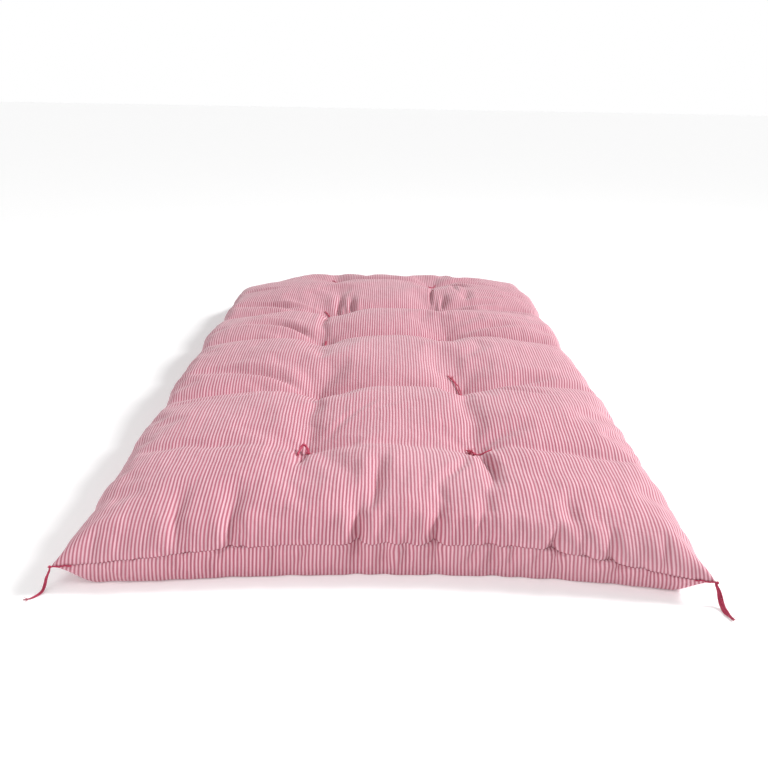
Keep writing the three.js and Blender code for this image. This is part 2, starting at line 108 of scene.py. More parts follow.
# Main folds: x0, y0, x1, y1, bow, depth, width, peak
FOLDS = [
    (-4, -700, -22, -965, 0, 8, 13, 0.45),
    (-41, -870, -42, -1050, 0, 11, 11, 0.72),
    (91, -850, 70, -1045, 3, 10, 11, 0.75),
    (164, -688, 166, -890, 15, 10, 12, 0.25),
    (166, -860, 150, -985, 0, 6, 12, 0.4),
    (-152, -688, -150, -810, 2, 8, 13, 0.25),
    (-239, -840, -236, -1045, 0, 9, 12, 0.65),
    (-316, -820, -308, -1015, -14, 7, 13, 0.6),
    (288, -860, 297, -975, 0, 7, 12, 0.6),
    (278, -945, 246, -1035, 0, 9, 10, 0.5),
    (353, -930, 346, -1040, 0, 7, 10, 0.6),
    (431, -940, 428, -1015, 0, 5, 10, 0.6),
    (166, -980, 160, -1045, 0, 7, 10, 0.5),
    (-101, -985, -132, -1045, 0, 6, 10, 0.6),
    (-160, -332, -470, -262, -28, 8, 17, 0.3),
    (-160, -340, -470, -480, 22, 6, 18, 0.3),
    (178, -280, 475, -190, -22, 8, 17, 0.3),
    (178, -298, 475, -420, -20, 6, 18, 0.3),
    (-175, 70, -470, 125, -48, 9, 16, 0.35),
    (-175, 46, -470, -70, -18, 7, 18, 0.35),
    (175, 118, 475, 170, 38, 8, 16, 0.35),
    (175, 96, 475, -10, 18, 6, 18, 0.35),
    (-235, 350, -470, 400, -22, 9, 16, 0.3),
    (-185, 328, -470, 215, -20, 7, 18, 0.3),
    (155, 422, 475, 500, 12, 8, 16, 0.3),
    (155, 402, 475, 330, 18, 6, 18, 0.3),
    (-141, 352, -135, 590, 0, 10, 13, 0.3),
    (-104, 355, -108, 540, 0, 9, 13, 0.3),
    (176, 425, 180, 590, 0, 8, 13, 0.3),
    (238, 450, 250, 650, -6, 9, 14, 0.4),
    (172, 762, 390, 840, 14, 9, 15, 0.25),
    (168, 745, 275, 620, 24, 9, 14, 0.3),
    (172, 752, 460, 700, 16, 7, 17, 0.3),
    (-188, 818, -450, 760, -16, 7, 17, 0.3),
    (-160, 822, -60, 800, 8, 6, 15, 0.3),
    (-60, 840, -66, 985, 0, 2, 14, 0.5),
    (60, 820, 68, 985, 0, 2, 14, 0.5),
    (240, 840, 252, 985, 0, 2, 14, 0.5),
    (-300, 820, -312, 985, 0, 2, 14, 0.5),
]
RIDGE_SHARE, RIDGE_PLACE = 0.32, 1.9

# Finer creases, seen only in the cloth: the same columns
CREASES = [
    (-42, -890, -43, -1030, 0, 7, 4.5, 0.75),
    (90, -870, 74, -1030, 2, 6, 4.5, 0.75),
    (-12, -770, -20, -950, 0, 4, 5, 0.5),
    (170, -700, 168, -875, 14, 5, 5, 0.3),
    (150, -725, 84, -850, 6, 5, 9, 0.5),
    (84, -835, 95, -905, 0, 4, 7, 0.5),
    (66, -795, 55, -880, 3, 3, 8, 0.5),
    (-238, -860, -236, -1030, 0, 5, 5, 0.7),
    (-224, -955, -211, -1035, 0, 6, 6, 0.5),
    (-324, -880, -312, -1000, -6, 4, 6, 0.5),
    (277, -950, 250, -1025, 0, 6, 5, 0.5),
    (306, -955, 312, -1040, 0, 6, 7, 0.5),
    (353, -945, 346, -1035, 0, 5, 5, 0.6),
    (431, -945, 428, -1010, 0, 4, 6, 0.6),
    (152, -915, 148, -1005, 0, 5, 5, 0.6),
    (152, -985, 118, -1040, 0, 7, 8, 0.5),
    (199, -985, 182, -1045, 0, 6, 7, 0.5),
    (36, -965, 31, -1040, 0, 6, 7, 0.6),
    (8, -985, -2, -1045, 0, 6, 8, 0.6),
    (-156, -985, -168, -1045, 0, 5, 7, 0.5),
    (-246, -995, -256, -1055, 0, 6, 7, 0.5),
    (-366, -985, -379, -1040, 0, 5, 7, 0.5),
    (-296, -975, -300, -1040, 0, 4, 7, 0.5),
    (-440, -930, -446, -1010, 0, 4, 7, 0.7),
    (-60, -985, -64, -1050, 0, 5, 8, 0.5),
    (236, -985, 226, -1045, 0, 5, 7, 0.5),
    (398, -975, 392, -1035, 0, 5, 7, 0.5),
    (-120, -700, 20, -428, 14, 2.6, 8, 0.4),
    (-40, -560, 60, -470, 8, 1.6, 9, 0.5),
    (-152, -684, -152, -790, 0, 6, 6, 0.25),
    (-138, 352, -142, 530, 0, 7, 6, 0.25),
    (-120, 355, -130, 505, 0, 6, 7, 0.25),
    (-98, 355, -104, 480, 0, 5, 7, 0.3),
    (150, 425, 163, 560, 0, 5, 7, 0.25),
    (168, 428, 182, 545, 0, 5, 7, 0.25),
    (222, 712, 262, 470, -18, 6, 9, 0.3),
    (-161, 62, -163, 330, 9, 8, 10, 0.8),
    (139, 424, 157, 755, 4, 9, 5.5, 0.5),
    (-168, 60, -450, 122, -46, 8, 8, 0.3),
    (-168, 352, -450, 402, -20, 8, 8, 0.3),
    (176, -300, 440, -205, -20, 5, 8, 0.3),
    (-155, -342, -440, -268, -24, 5, 8, 0.3),
    (-320, -430, -470, -455, 6, 3, 9, 0.5),
    (-210, 180, -460, 205, -10, 4, 9, 0.5),
    (-230, 300, -470, 285, -8, 3, 9, 0.5),
    (230, 232, 465, 250, 8, 3, 9, 0.5),
    (250, 580, 470, 610, 8, 4, 9, 0.5),
    (260, 520, 468, 560, 8, 3, 9, 0.5),
    (-260, 560, -470, 600, -10, 4, 10, 0.5),
    (-250, 660, -460, 690, -8, 3, 9, 0.5),
]
PLEATS, SLOW_PLEATS, PLEAT_MIX = 7, 4, 0.65  # two counts round a tie, and the first one's share
PLEAT_DEPTH, PLEAT_REACH, PLEAT_START = 0.16, 34.0, 7.0  # depth: share of the tie's own

# Puckers across the seam at both ends: x, depth, width
PUCKERS = [
    (-405, 3, 14),
    (-313, 3, 14),
    (-228, 3, 14),
    (-140, 3, 14),
    (-42, 5, 13),
    (0, 4, 14),
    (79, 5, 13),
    (165, 5, 14),
    (205, 3, 13),
    (258, 4, 14),
    (346, 4, 13),
    (396, 3, 14),
]
PUCKER_BACK = 0.15  # share of them at the far end


# Shape of the cloth


def smooth(value):
    """0 to 1 along a line that starts and ends level."""
    value = np.clip(value, 0, 1)
    return value**2 * (3 - 2 * value)


def mix(start, end, share):
    """The value at a share of the way from start to end."""
    return start + (end - start) * share


def hollow(distance, width, round_bottom):
    """1 at the middle of a hollow, falling off as an exponential with a rounded bottom."""
    return np.exp(round_bottom - np.hypot(distance / width, round_bottom))


def bell(distance, width):
    """1 in the middle, falling off as the exponential of the squared distance in widths."""
    return np.exp(-((distance / width) ** 2))


def rise(distance):
    """Share of the full height: a quarter sine up the nose, and a slow smooth step over the shoulder."""
    nose = np.sin(np.pi / 2 * np.clip(distance / NOSE, 0, 1))
    return NOSE_SHARE * nose + (1 - NOSE_SHARE) * smooth(distance / SHOULDER)


def taken_up(distance):
    """Cloth length less plan length, from the seam up the quarter ellipse of the nose."""
    turned = np.clip(distance / NOSE, 0, 1)
    return turned * NOSE - NOSE_REACH * (1 - np.cos(np.pi / 2 * turned))


def joint_share(first, second):
    """Two shares joined so that the lower one rules: 1 over the root of the summed inverse squares less 1."""
    both = np.maximum(first, 1e-6) ** -2 + np.maximum(second, 1e-6) ** -2 - 1
    return np.where((first > 0) & (second > 0), 1 / np.sqrt(both), 0)


def row_line(row, left, right, x):
    """y of a row's valley: straight between its ties, and a smooth step from each tie to its side."""
    to_left = mix(row[0], left[1], smooth((x + WIDTH / 2) / (left[0] + WIDTH / 2)))
    to_right = mix(right[1], row[1], smooth((x - right[0]) / (WIDTH / 2 - right[0])))
    between = mix(left[1], right[1], (x - left[0]) / (right[0] - left[0]))
    return np.where(x < left[0], to_left, np.where(x > right[0], to_right, between))


def row_share(left, right, x):
    """A valley across is deepest at its ties: a squared sine between them, a smooth step beyond."""
    between = np.clip((x - left[0]) / (right[0] - left[0]), 0, 1)
    inner = 1 - (1 - ROW_MIDDLE) * np.sin(np.pi * between) ** 2
    beyond = np.where(x < 0, (left[0] - x) / (WIDTH / 2 + left[0]), (x - right[0]) / (WIDTH / 2 - right[0]))
    return inner - (1 - ROW_SIDE) * smooth(beyond)


def rows_at(x, y):
    """Valleys along the rows: a wide hollow with a narrow crease at its bottom."""
    total = 0
    for row, left, right in zip(ROWS, TIE_PLACES[0::2], TIE_PLACES[1::2]):
        away = y - row_line(row, left, right, x)
        section = hollow(away, *ROW_VALLEY) + ROW_CREASE_SHARE * hollow(away, *ROW_CREASE)
        total = total + row[2] * row_share(left, right, x) * section
    return total


def columns_at(x, y):
    """Valleys along the two columns, straight from each tie to the next and shallower halfway."""
    total = 0
    for place, (near, far) in enumerate(zip(TIE_PLACES, TIE_PLACES[2:])):
        along = np.clip((y - near[1]) / (far[1] - near[1]), 0, 1)
        share = 1 - (1 - COLUMN_MIDDLE) * np.sin(np.pi * along) ** 2
        ends = smooth(COLUMN_EASE * along) * smooth(COLUMN_EASE * (1 - along))
        away = x - mix(near[0], far[0], along)
        depth = COLUMN_DEPTHS[place // 2][place % 2]
        total = total + depth * share * ends * hollow(away, *COLUMN_VALLEY)
    return total


def folds_at(folds, x, y):
    """Each fold is a bell-shaped trough along a bowed line with a lower ridge on either side, and it
    deepens smoothly from both ends to its peak."""
    total = 0
    for x0, y0, x1, y1, bow, depth, width, peak in folds:
        dx, dy = x1 - x0, y1 - y0
        long = np.hypot(dx, dy)
        along = ((x - x0) * dx + (y - y0) * dy) / long**2
        across = ((y - y0) * dx - (x - x0) * dy) / long - bow * 4 * along * (1 - along)
        taper = smooth(np.minimum(along / peak, (1 - along) / (1 - peak)))
        section = bell(across, width) - RIDGE_SHARE * bell(np.abs(across) - RIDGE_PLACE * width, width)
        total = total + depth * taper * section
    return total


def pleats_at(x, y):
    """Small pleats that run out from each tie: cosines of the bearing, uneven because two counts are
    mixed, that grow over the first few millimetres and die away with distance."""
    total = 0
    for place, (tx, ty, depth) in enumerate(TIE_PLACES):
        reach = np.hypot(x - tx, y - ty)
        bearing = np.arctan2(y - ty, x - tx)
        fast, slow = np.cos(PLEATS * bearing + 1.7 * place), np.cos(SLOW_PLEATS * bearing + 2.9 * place)
        wave = PLEAT_MIX * fast + (1 - PLEAT_MIX) * slow
        near = smooth(reach / PLEAT_START) * np.exp(-reach / PLEAT_REACH)
        total = total + PLEAT_DEPTH * depth * wave * near
    return total


def relief_at(x, y):
    """Depth of the top below its crown: dimples, valleys, pleats and sags added up; the folds are taken off
    apart from these.
    """
    dimples = sum(depth * hollow(np.hypot(x - tx, y - ty), *DIMPLE) for tx, ty, depth in TIE_PLACES)
    sags = sum(depth * bell(np.hypot(x - sx, y - sy), width) for sx, sy, width, depth in SAGS)
    return dimples + sags + rows_at(x, y) + columns_at(x, y) + pleats_at(x, y)


def side_pull(x, y):
    """How far a long side lies inside an even line: bells at the rows less bells where it stands out."""
    left = x < 0
    deepest = ROWS[1][2]
    notches = sum(depth / deepest * bell(y - np.where(left, yl, yr), NOTCH_WIDTH) for yl, yr, depth in ROWS)
    stands = sum(np.where(left, sl, sr) * bell(y - sy, width) for sy, width, sl, sr in SIDES)
    return NOTCH_DEPTH * notches - stands


def end_pull(x, y):
    """How far an end lies inside: a parabola across it, and a bell for each pucker."""
    bow = END_DRAW * np.clip(1 - ((x - END_DRAW_X) / END_DRAW_REACH) ** 2, 0, 1)
    puckers = sum(depth * bell(x - px, width) for px, depth, width in PUCKERS)
    return bow + np.where(y > 0, PUCKER_BACK, 1) * puckers


def ears(x, y):
    """1 where an edge is drawn in fully, and powers of the distance that run out to 0 at the tips."""
    side = 1 - np.where(y > 0, EAR_BACK, 1) * np.abs(2 * y / LENGTH) ** EAR_ALONG
    return side, 1 - np.abs(2 * x / WIDTH) ** EAR_ACROSS


def seam_height(x, y):
    """Seam height, a smooth step up from each tip along both edges."""
    from_side, from_end = WIDTH / 2 - np.abs(x), LENGTH / 2 - np.abs(y)
    low = (1 - smooth(from_side / SEAM_RISE)) * (1 - smooth(from_end / SEAM_RISE))
    tip = np.where(y > 0, TIP_BACK, np.where(x > 0, TIP_RIGHT, TIP_LEFT))
    return mix(tip, SEAM_HEIGHT, 1 - low)


def top_panel(x, y):
    """The top panel: drawn in over the nose at its edges, and raised by both edges' shares to the crown
    less its relief. A fold sinks into the crown, and over the nose into the side or end."""
    from_side, from_end = WIDTH / 2 - np.abs(x), LENGTH / 2 - np.abs(y)
    side_ear, end_ear = ears(x, y)
    drawn = taken_up(NOSE)
    folds = folds_at(FOLDS, x, y) + folds_at(CREASES, x, y)
    near_side, near_end = 1 - smooth(from_side / (2 * NOSE)), 1 - smooth(from_end / (2 * NOSE))
    inset_x = side_ear * (drawn - taken_up(from_side) + near_side * (side_pull(x, y) + folds))
    inset_y = end_ear * (drawn - taken_up(from_end) + near_end * (end_pull(x, y) + folds))
    height = joint_share(rise(from_side), rise(from_end))
    crown = mix(CROWN_MIDDLE, np.where(y > 0, CROWN_BACK, CROWN_FRONT), smooth(np.abs(2 * y / LENGTH)))
    z = mix(seam_height(x, y), crown - relief_at(x, y) - folds, height)
    return np.stack([x - np.sign(x) * inset_x, y - np.sign(y) * inset_y, z], -1)


def under_panel(x, y):
    """The under panel: a quarter ellipse from the seam down to the floor along each edge, straighter in
    the tips, and level inside. A fold that crosses the seam runs on over it, at the same distance."""
    from_side, from_end = WIDTH / 2 - np.abs(x), LENGTH / 2 - np.abs(y)
    side_ear, end_ear = ears(x, y)
    drawn = taken_up(NOSE)
    fade_side, fade_end = 1 - smooth(from_side / UNDER_FADE), 1 - smooth(from_end / UNDER_FADE)
    from_tip = np.clip(np.hypot(from_side, from_end) / THIN_TIP, 0, 1)

    def wrapped(distance, reach, size):
        angle = np.pi / 2 * np.clip(distance / UNDER_NOSE, 0, 1)
        level = np.maximum(distance - UNDER_NOSE, 0) * (size / 2 - reach) / (size / 2 - UNDER_NOSE)
        return reach * (1 - np.cos(angle)) + level, mix(1 - np.cos(angle), np.sin(angle), from_tip)

    plan_x, low_x = wrapped(from_side, SOLE_X, WIDTH)
    plan_y, low_y = wrapped(from_end, SOLE_Y, LENGTH)
    beyond = np.sign(y) * (LENGTH / 2 + from_end)
    folds = (folds_at(FOLDS, x, beyond) + folds_at(CREASES, x, beyond)) * (1 - smooth(from_end / FOLD_UNDER))
    inset_x = side_ear * fade_side * (drawn + side_pull(x, y))
    inset_y = end_ear * (fade_end * (drawn + end_pull(x, y)) + folds)
    z = seam_height(x, y) * (1 - joint_share(low_x, low_y))
    away_x, away_y = WIDTH / 2 - plan_x - inset_x, LENGTH / 2 - plan_y - inset_y
    return np.stack([np.sign(x) * away_x, np.sign(y) * away_y, z], -1)


RING_PLACES = [0, 2.5, 5.5, 9, 13, 18, 24, 31, 39, 48, 58]  # distances from the seam


def panel_lines(size, step, grade):
    """Grid lines over a panel: close together by both edges, and between them even, or closer to the
    front by a parabola."""
    edge = np.array(RING_PLACES)
    reach = size - 2 * edge[-1]
    share = np.linspace(0, 1, round(reach / step) + 1)
    middle = edge[-1] - size / 2 + reach * (share - grade * share * (1 - share))
    return np.concatenate([edge - size / 2, middle[1:-1], (size / 2 - edge)[::-1]])


# Meshes


def put_object(name, data):
    """A new object in the scene, at the origin."""
    made = bpy.data.objects.new(name, data)
    bpy.context.scene.collection.objects.link(made)
    return made


def put_mesh(name, vertices, faces, material):
    """A mesh in metres from vertices in millimetres, with smooth faces."""
    mesh = bpy.data.meshes.new(name)
    mesh.from_pydata((np.asarray(vertices) * MM).tolist(), [], faces)
    mesh.polygons.foreach_set("use_smooth", np.ones(len(mesh.polygons), bool))
    if material:
        mesh.materials.append(material)
    mesh.update()
    return put_object(name, mesh)


def grid_faces(index):
    """Four-sided faces between the neighbours of a grid of vertex numbers."""
    corners = [index[:-1, :-1], index[:-1, 1:], index[1:, 1:], index[1:, :-1]]
    return np.stack(corners, -1).reshape(-1, 4)


def unit(vectors):
    """Vectors divided by their lengths."""
    return vectors / np.maximum(np.linalg.norm(vectors, axis=-1, keepdims=True), 1e-9)


def spline(points, count):
    """Points along a smooth curve through the given ones: uniform Catmull-Rom cubics."""
    points = np.asarray(points, float)
    padded = np.concatenate([2 * points[:1] - points[1:2], points, 2 * points[-1:] - points[-2:-1]])
    place = np.linspace(0, len(points) - 1, count)
    first = np.minimum(place.astype(int), len(points) - 2)
    t = (place - first)[:, None]
    a, b, c, d = (padded[first + k] for k in range(4))
    return 0.5 * (2 * b + (c - a) * t + (2 * a - 5 * b + 4 * c - d) * t**2 + (3 * b - a - 3 * c + d) * t**3)


def tube(path, radius, across, sides):
    """A closed tube: circles of the local radius, square to the path and set out from one cross direction."""
    along = unit(np.gradient(path, axis=0))
    normal = unit(np.cross(across, along))
    other = np.cross(along, normal)
    angle = np.linspace(0, 2 * np.pi, sides, endpoint=False)[:, None]
    circle = np.cos(angle) * normal[:, None] + np.sin(angle) * other[:, None]
    rings = path[:, None] + np.broadcast_to(radius, len(path))[:, None, None] * circle
    count = len(path)
    index = np.arange(count * sides).reshape(count, sides)
    wrapped = np.concatenate([index, index[:, :1]], 1)
    quads = grid_faces(wrapped)[:, ::-1]
    ends = np.concatenate([
        np.stack([np.full(sides, count * sides), wrapped[0, :-1], wrapped[0, 1:]], 1),
        np.stack([np.full(sides, count * sides + 1), wrapped[-1, 1:], wrapped[-1, :-1]], 1),
    ])
    vertices = np.concatenate([rings.reshape(-1, 3), path[:1], path[-1:]])
    return vertices, quads.tolist() + ends.tolist()


def joined(parts):
    """One list of vertices and one of faces from several."""
    vertices, faces, start = [], [], 0
    for part_vertices, part_faces in parts:
        vertices.append(part_vertices)
        faces += [[corner + start for corner in face] for face in part_faces]
        start += len(part_vertices)
    return np.concatenate(vertices), faces


# Materials


def srgb(code):
    """Linear colour of an sRGB hex value."""
    value = np.array([int(code[i : i + 2], 16) for i in (1, 3, 5)]) / 255
    linear = np.where(value <= 0.04045, value / 12.92, ((value + 0.055) / 1.055) ** 2.4)
    return (*linear.tolist(), 1.0)


def node(tree, kind, settings=None, inputs=None, links=None):
    """Adds a shader node, gives it its settings and input values, and links outputs to its inputs."""
    made = tree.nodes.new("ShaderNode" + kind)
    for name, value in (settings or {}).items():
        setattr(made, name, value)
    for name, value in (inputs or {}).items():
        made.inputs[name].default_value = value
    for name, source in (links or {}).items():
        tree.links.new(source, made.inputs[name])
    return made


def new_material(name, inputs):
    """A material with the given inputs of its surface shader, its node tree, and the shader."""
    material = bpy.data.materials.new(name)
    material.use_nodes = True
    shader = material.node_tree.nodes["Principled BSDF"]
    for key, value in inputs.items():
        shader.inputs[key].default_value = value
    return material, material.node_tree, shader


STRIPE_PITCH = 6.2  # one rose and one pale stripe
STRIPE_WANDER = 3.2  # how far the stripes wander from a straight line
UNDER_SHIFT = 2.3  # how far the under panel's stripes stand beside the top's
FULLNESS = 0.08  # how much closer the stripes stand at the front end, where the cloth is gathered
YARN_PITCH = 1.2  # warp yarns, drawn about twice as coarse as real so that they show
WEFT_PITCH = 2.6  # weft ribs, drawn about three times as coarse as real so that they show
SLUB = 45.0  # length of the thick and thin places in a yarn
DYE_RUN = 160.0  # length over which one stripe's dye stays the same


def drawn_noise(tree, place, scale, settings):
    """Noise over the cloth, drawn out by a scale of its own along each axis."""
    drawn = node(tree, "Mapping", inputs={"Scale": scale}, links={"Vector": place})
    inputs = {"Scale": 1.0, **settings}
    return node(tree, "TexNoise", {}, inputs, {"Vector": drawn.outputs["Vector"]}).outputs["Fac"]


def ticking_stripes(tree, place):
    """Share of rose at a place of the cloth: a triangle wave across the stripes, which wander a little
    and are sawn at their edges by the yarns. The yarns' own unevenness comes second."""
    split = node(tree, "SeparateXYZ", links={"Vector": place})
    shifted = node(
        tree, "Math", {"operation": "MULTIPLY_ADD"}, {1: UNDER_SHIFT * MM},
        {0: split.outputs["Z"], 2: split.outputs["X"]},
    )
    bend = node(tree, "TexNoise", inputs={"Scale": 13.0, "Detail": 2.5}, links={"Vector": place})
    wandering = node(
        tree, "Math", {"operation": "MULTIPLY_ADD"}, {1: STRIPE_WANDER * MM},
        {0: bend.outputs["Fac"], 2: shifted.outputs[0]},
    )
    counted = node(tree, "Math", {"operation": "DIVIDE"}, {1: STRIPE_PITCH * MM}, {0: wandering.outputs[0]})
    wave = node(tree, "Math", {"operation": "PINGPONG"}, {1: 0.5}, {0: counted.outputs[0]})
    yarn_scale = (1 / (YARN_PITCH * MM), 1 / (SLUB * MM), 1)
    yarns = drawn_noise(tree, place, yarn_scale, {"Detail": 2.0, "Roughness": 0.6})
    sawn = node(tree, "Math", {"operation": "MULTIPLY_ADD"}, {1: 0.22}, {0: yarns, 2: wave.outputs[0]})
    share = node(
        tree, "MapRange", {"interpolation_type": "SMOOTHSTEP"}, {"From Min": 0.18, "From Max": 0.52},
        {"Value": sawn.outputs[0]},
    )
    return share.outputs["Result"], yarns


def ticking_tone(tree, place, yarns):
    """How light the dye is: each yarn a little uneven, and each stripe deeper or paler for a length."""
    dye = drawn_noise(tree, place, (2 / (STRIPE_PITCH * MM), 1 / (DYE_RUN * MM), 1), {"Detail": 1.0})
    of_stripe = node(
        tree, "MapRange", inputs={"From Min": 0.3, "From Max": 0.7, "To Min": 0.9, "To Max": 1.1},
        links={"Value": dye},
    )
    of_yarn = node(tree, "MapRange", inputs={"To Min": 0.86, "To Max": 1.12}, links={"Value": yarns})
    tone = node(
        tree, "Math", {"operation": "MULTIPLY"},
        links={0: of_stripe.outputs["Result"], 1: of_yarn.outputs["Result"]},
    )
    return tone.outputs[0]


def ticking_relief(tree, place, share):
    """Normal of the cloth: weft ribs and raised stripes, over a soft crumple."""
    weft = drawn_noise(tree, place, (60, 1 / (WEFT_PITCH * MM), 1), {"Detail": 1.0})
    crumple = node(
        tree, "TexNoise", inputs={"Scale": 34.0, "Detail": 3.0, "Roughness": 0.55}, links={"Vector": place},
    )
    ribs = node(tree, "Math", {"operation": "MULTIPLY_ADD"}, {1: 0.5}, {0: share, 2: weft})
    fine = node(
        tree, "Bump", inputs={"Strength": 0.5, "Distance": 0.5 * MM}, links={"Height": ribs.outputs[0]},
    )
    soft = node(
        tree, "Bump", inputs={"Strength": 0.7, "Distance": 4 * MM},
        links={"Height": crumple.outputs["Fac"], "Normal": fine.outputs["Normal"]},
    )
    return soft.outputs["Normal"]


def ticking_material():
    """Plain-woven cotton ticking, yarn-dyed: rose and pale pink warp stripes crossed by a pale weft, so
    the stripes have soft sawn edges, the surface is matt, and it fades where it is rubbed."""
    matt = {"Roughness": 0.88, "Specular IOR Level": 0.25, "Sheen Weight": 0.2, "Sheen Roughness": 0.4}
    material, tree, shader = new_material("cotton_ticking_woven", matt)
    place = node(tree, "Attribute", {"attribute_name": "panel"}).outputs["Vector"]
    share, yarns = ticking_stripes(tree, place)
    tone = ticking_tone(tree, place, yarns)
    pair = node(
        tree, "Mix", {"data_type": "RGBA"}, {"A": srgb("#e1b6c0"), "B": srgb("#b06172")}, {"Factor": share},
    )
    toned = node(
        tree, "VectorMath", {"operation": "SCALE"}, links={"Vector": pair.outputs["Result"], "Scale": tone},
    )
    rubbed = node(tree, "TexNoise", inputs={"Scale": 2.6, "Detail": 3.0}, links={"Vector": place})
    fade = node(
        tree, "MapRange", inputs={"From Min": 0.4, "From Max": 0.75, "To Min": 0.0, "To Max": 0.16},
        links={"Value": rubbed.outputs["Fac"]},
    )
    faded = node(
        tree, "Mix", {"data_type": "RGBA"}, {"B": srgb("#e6c0c8")},
        {"Factor": fade.outputs["Result"], "A": toned.outputs["Vector"]},
    )
    tree.links.new(faded.outputs["Result"], shader.inputs["Base Color"])
    tree.links.new(ticking_relief(tree, place, share), shader.inputs["Normal"])
    return material


def yarn_material(name, deep, pale):
    """Soft-spun cotton yarn, dyed in the hank: matt and fuzzy, deeper or paler at random in a fine noise over
    it.
    """
    fuzzy = {"Roughness": 0.85, "Specular IOR Level": 0.25, "Sheen Weight": 0.15, "Sheen Roughness": 0.5}
    material, tree, shader = new_material(name, fuzzy)
    place = node(tree, "TexCoord")
    fibre = node(
        tree, "TexNoise", inputs={"Scale": 700.0, "Detail": 3.0}, links={"Vector": place.outputs["Object"]},
    )
    tone = node(
        tree, "Mix", {"data_type": "RGBA"}, {"A": srgb(deep), "B": srgb(pale)},
        {"Factor": fibre.outputs["Fac"]},
    )
    tree.links.new(tone.outputs["Result"], shader.inputs["Base Color"])
    bump = node(
        tree, "Bump", inputs={"Strength": 0.6, "Distance": 0.4 * MM},
        links={"Height": fibre.outputs["Fac"]},
    )
    tree.links.new(bump.outputs["Normal"], shader.inputs["Normal"])
    return material


# The cover

STEP_X, STEP_Y, GRADE_Y = 3.9, 7.2, 0.28
X_LINES, Y_LINES = panel_lines(WIDTH, STEP_X, 0), panel_lines(LENGTH, STEP_Y, GRADE_Y)
CLOTH_X, CLOTH_Y = np.meshgrid(X_LINES, Y_LINES)
FROM_SIDE, FROM_END = WIDTH / 2 - np.abs(CLOTH_X), LENGTH / 2 - np.abs(CLOTH_Y)
FROM_SEAM = np.minimum(FROM_SIDE, FROM_END)
UNDER_PLACES = np.array([*RING_PLACES[1:], 69, 82, 100, 128, 165, 210, 262])

SETTLE_X, SETTLE_Y = 11.5, 13.0  # grid of the simulated cloth
SETTLE_FRAMES, SETTLE_PRESSURE, SETTLE_EASE = 20, 1.0, 0.03  # ease: cloth to spare, share of its length
WRINKLE, SWELLING = 12.5, 85.0  # widths over which its moves are smoothed and averaged
SETTLE_SHARE, SETTLE_CAP, SETTLE_EDGE = 0.9, 13.0, 50.0
TIE_HOLD, ROW_HOLD, ROW_HOLD_SHARE = 10.0, 12.0, 0.01  # how far the cloth is held about ties and rows

GATHER_PITCH, GATHER_DEPTH, GATHER_REACH = 11.0, 1.3, 42.0
GATHER_LONG, GATHER_START = 220.0, 9.0
LIP, LIP_PLACE = 1.3, 6.0
LUMP_PITCH, LUMP_HEIGHT = 38.0, 0.9


def lip(from_seam):
    """How far the cloth stands proud beside the seam: up to its full height at the lip's place, and away
    again as an exponential."""
    return LIP * from_seam / LIP_PLACE * np.exp(1 - from_seam / LIP_PLACE)


def carried(values, lines_x, lines_y, width_x, width_y):
    """Values of a coarse grid at every point of the cover's grid: their mean, weighted by a bell of the
    distance along each side."""

    def weights(lines, coarse, width):
        share = bell(lines[:, None] - coarse, width) * np.gradient(coarse)
        return share / share.sum(1, keepdims=True)

    down, across = weights(Y_LINES, lines_y, width_y), weights(X_LINES, lines_x, width_x)
    return np.einsum("ij,jkc,lk->ilc", down, values, across, optimize=True)


def uneven(pitch_x, pitch_y, seed):
    """Soft seeded unevenness, about 1 either way: random heights a pitch apart, smoothed between."""
    lines_x = np.arange(-WIDTH / 2 - pitch_x, WIDTH / 2 + 2 * pitch_x, pitch_x)
    lines_y = np.arange(-LENGTH / 2 - pitch_y, LENGTH / 2 + 2 * pitch_y, pitch_y)
    heights = np.random.default_rng(seed).normal(size=(len(lines_y), len(lines_x), 1))
    field = carried(heights, lines_x, lines_y, pitch_x, pitch_y)[..., 0]
    return field / field.std()


def settling_lines(size, step):
    """Grid lines of the simulated cloth: even, but for the ones by both edges."""
    edge = np.array([0, 12, 24, 37, 50, 63])
    middle = np.arange(edge[-1] + step, size - edge[-1] - step / 2, step)
    return np.concatenate([edge - size / 2, middle - size / 2, (size / 2 - edge)[::-1]])


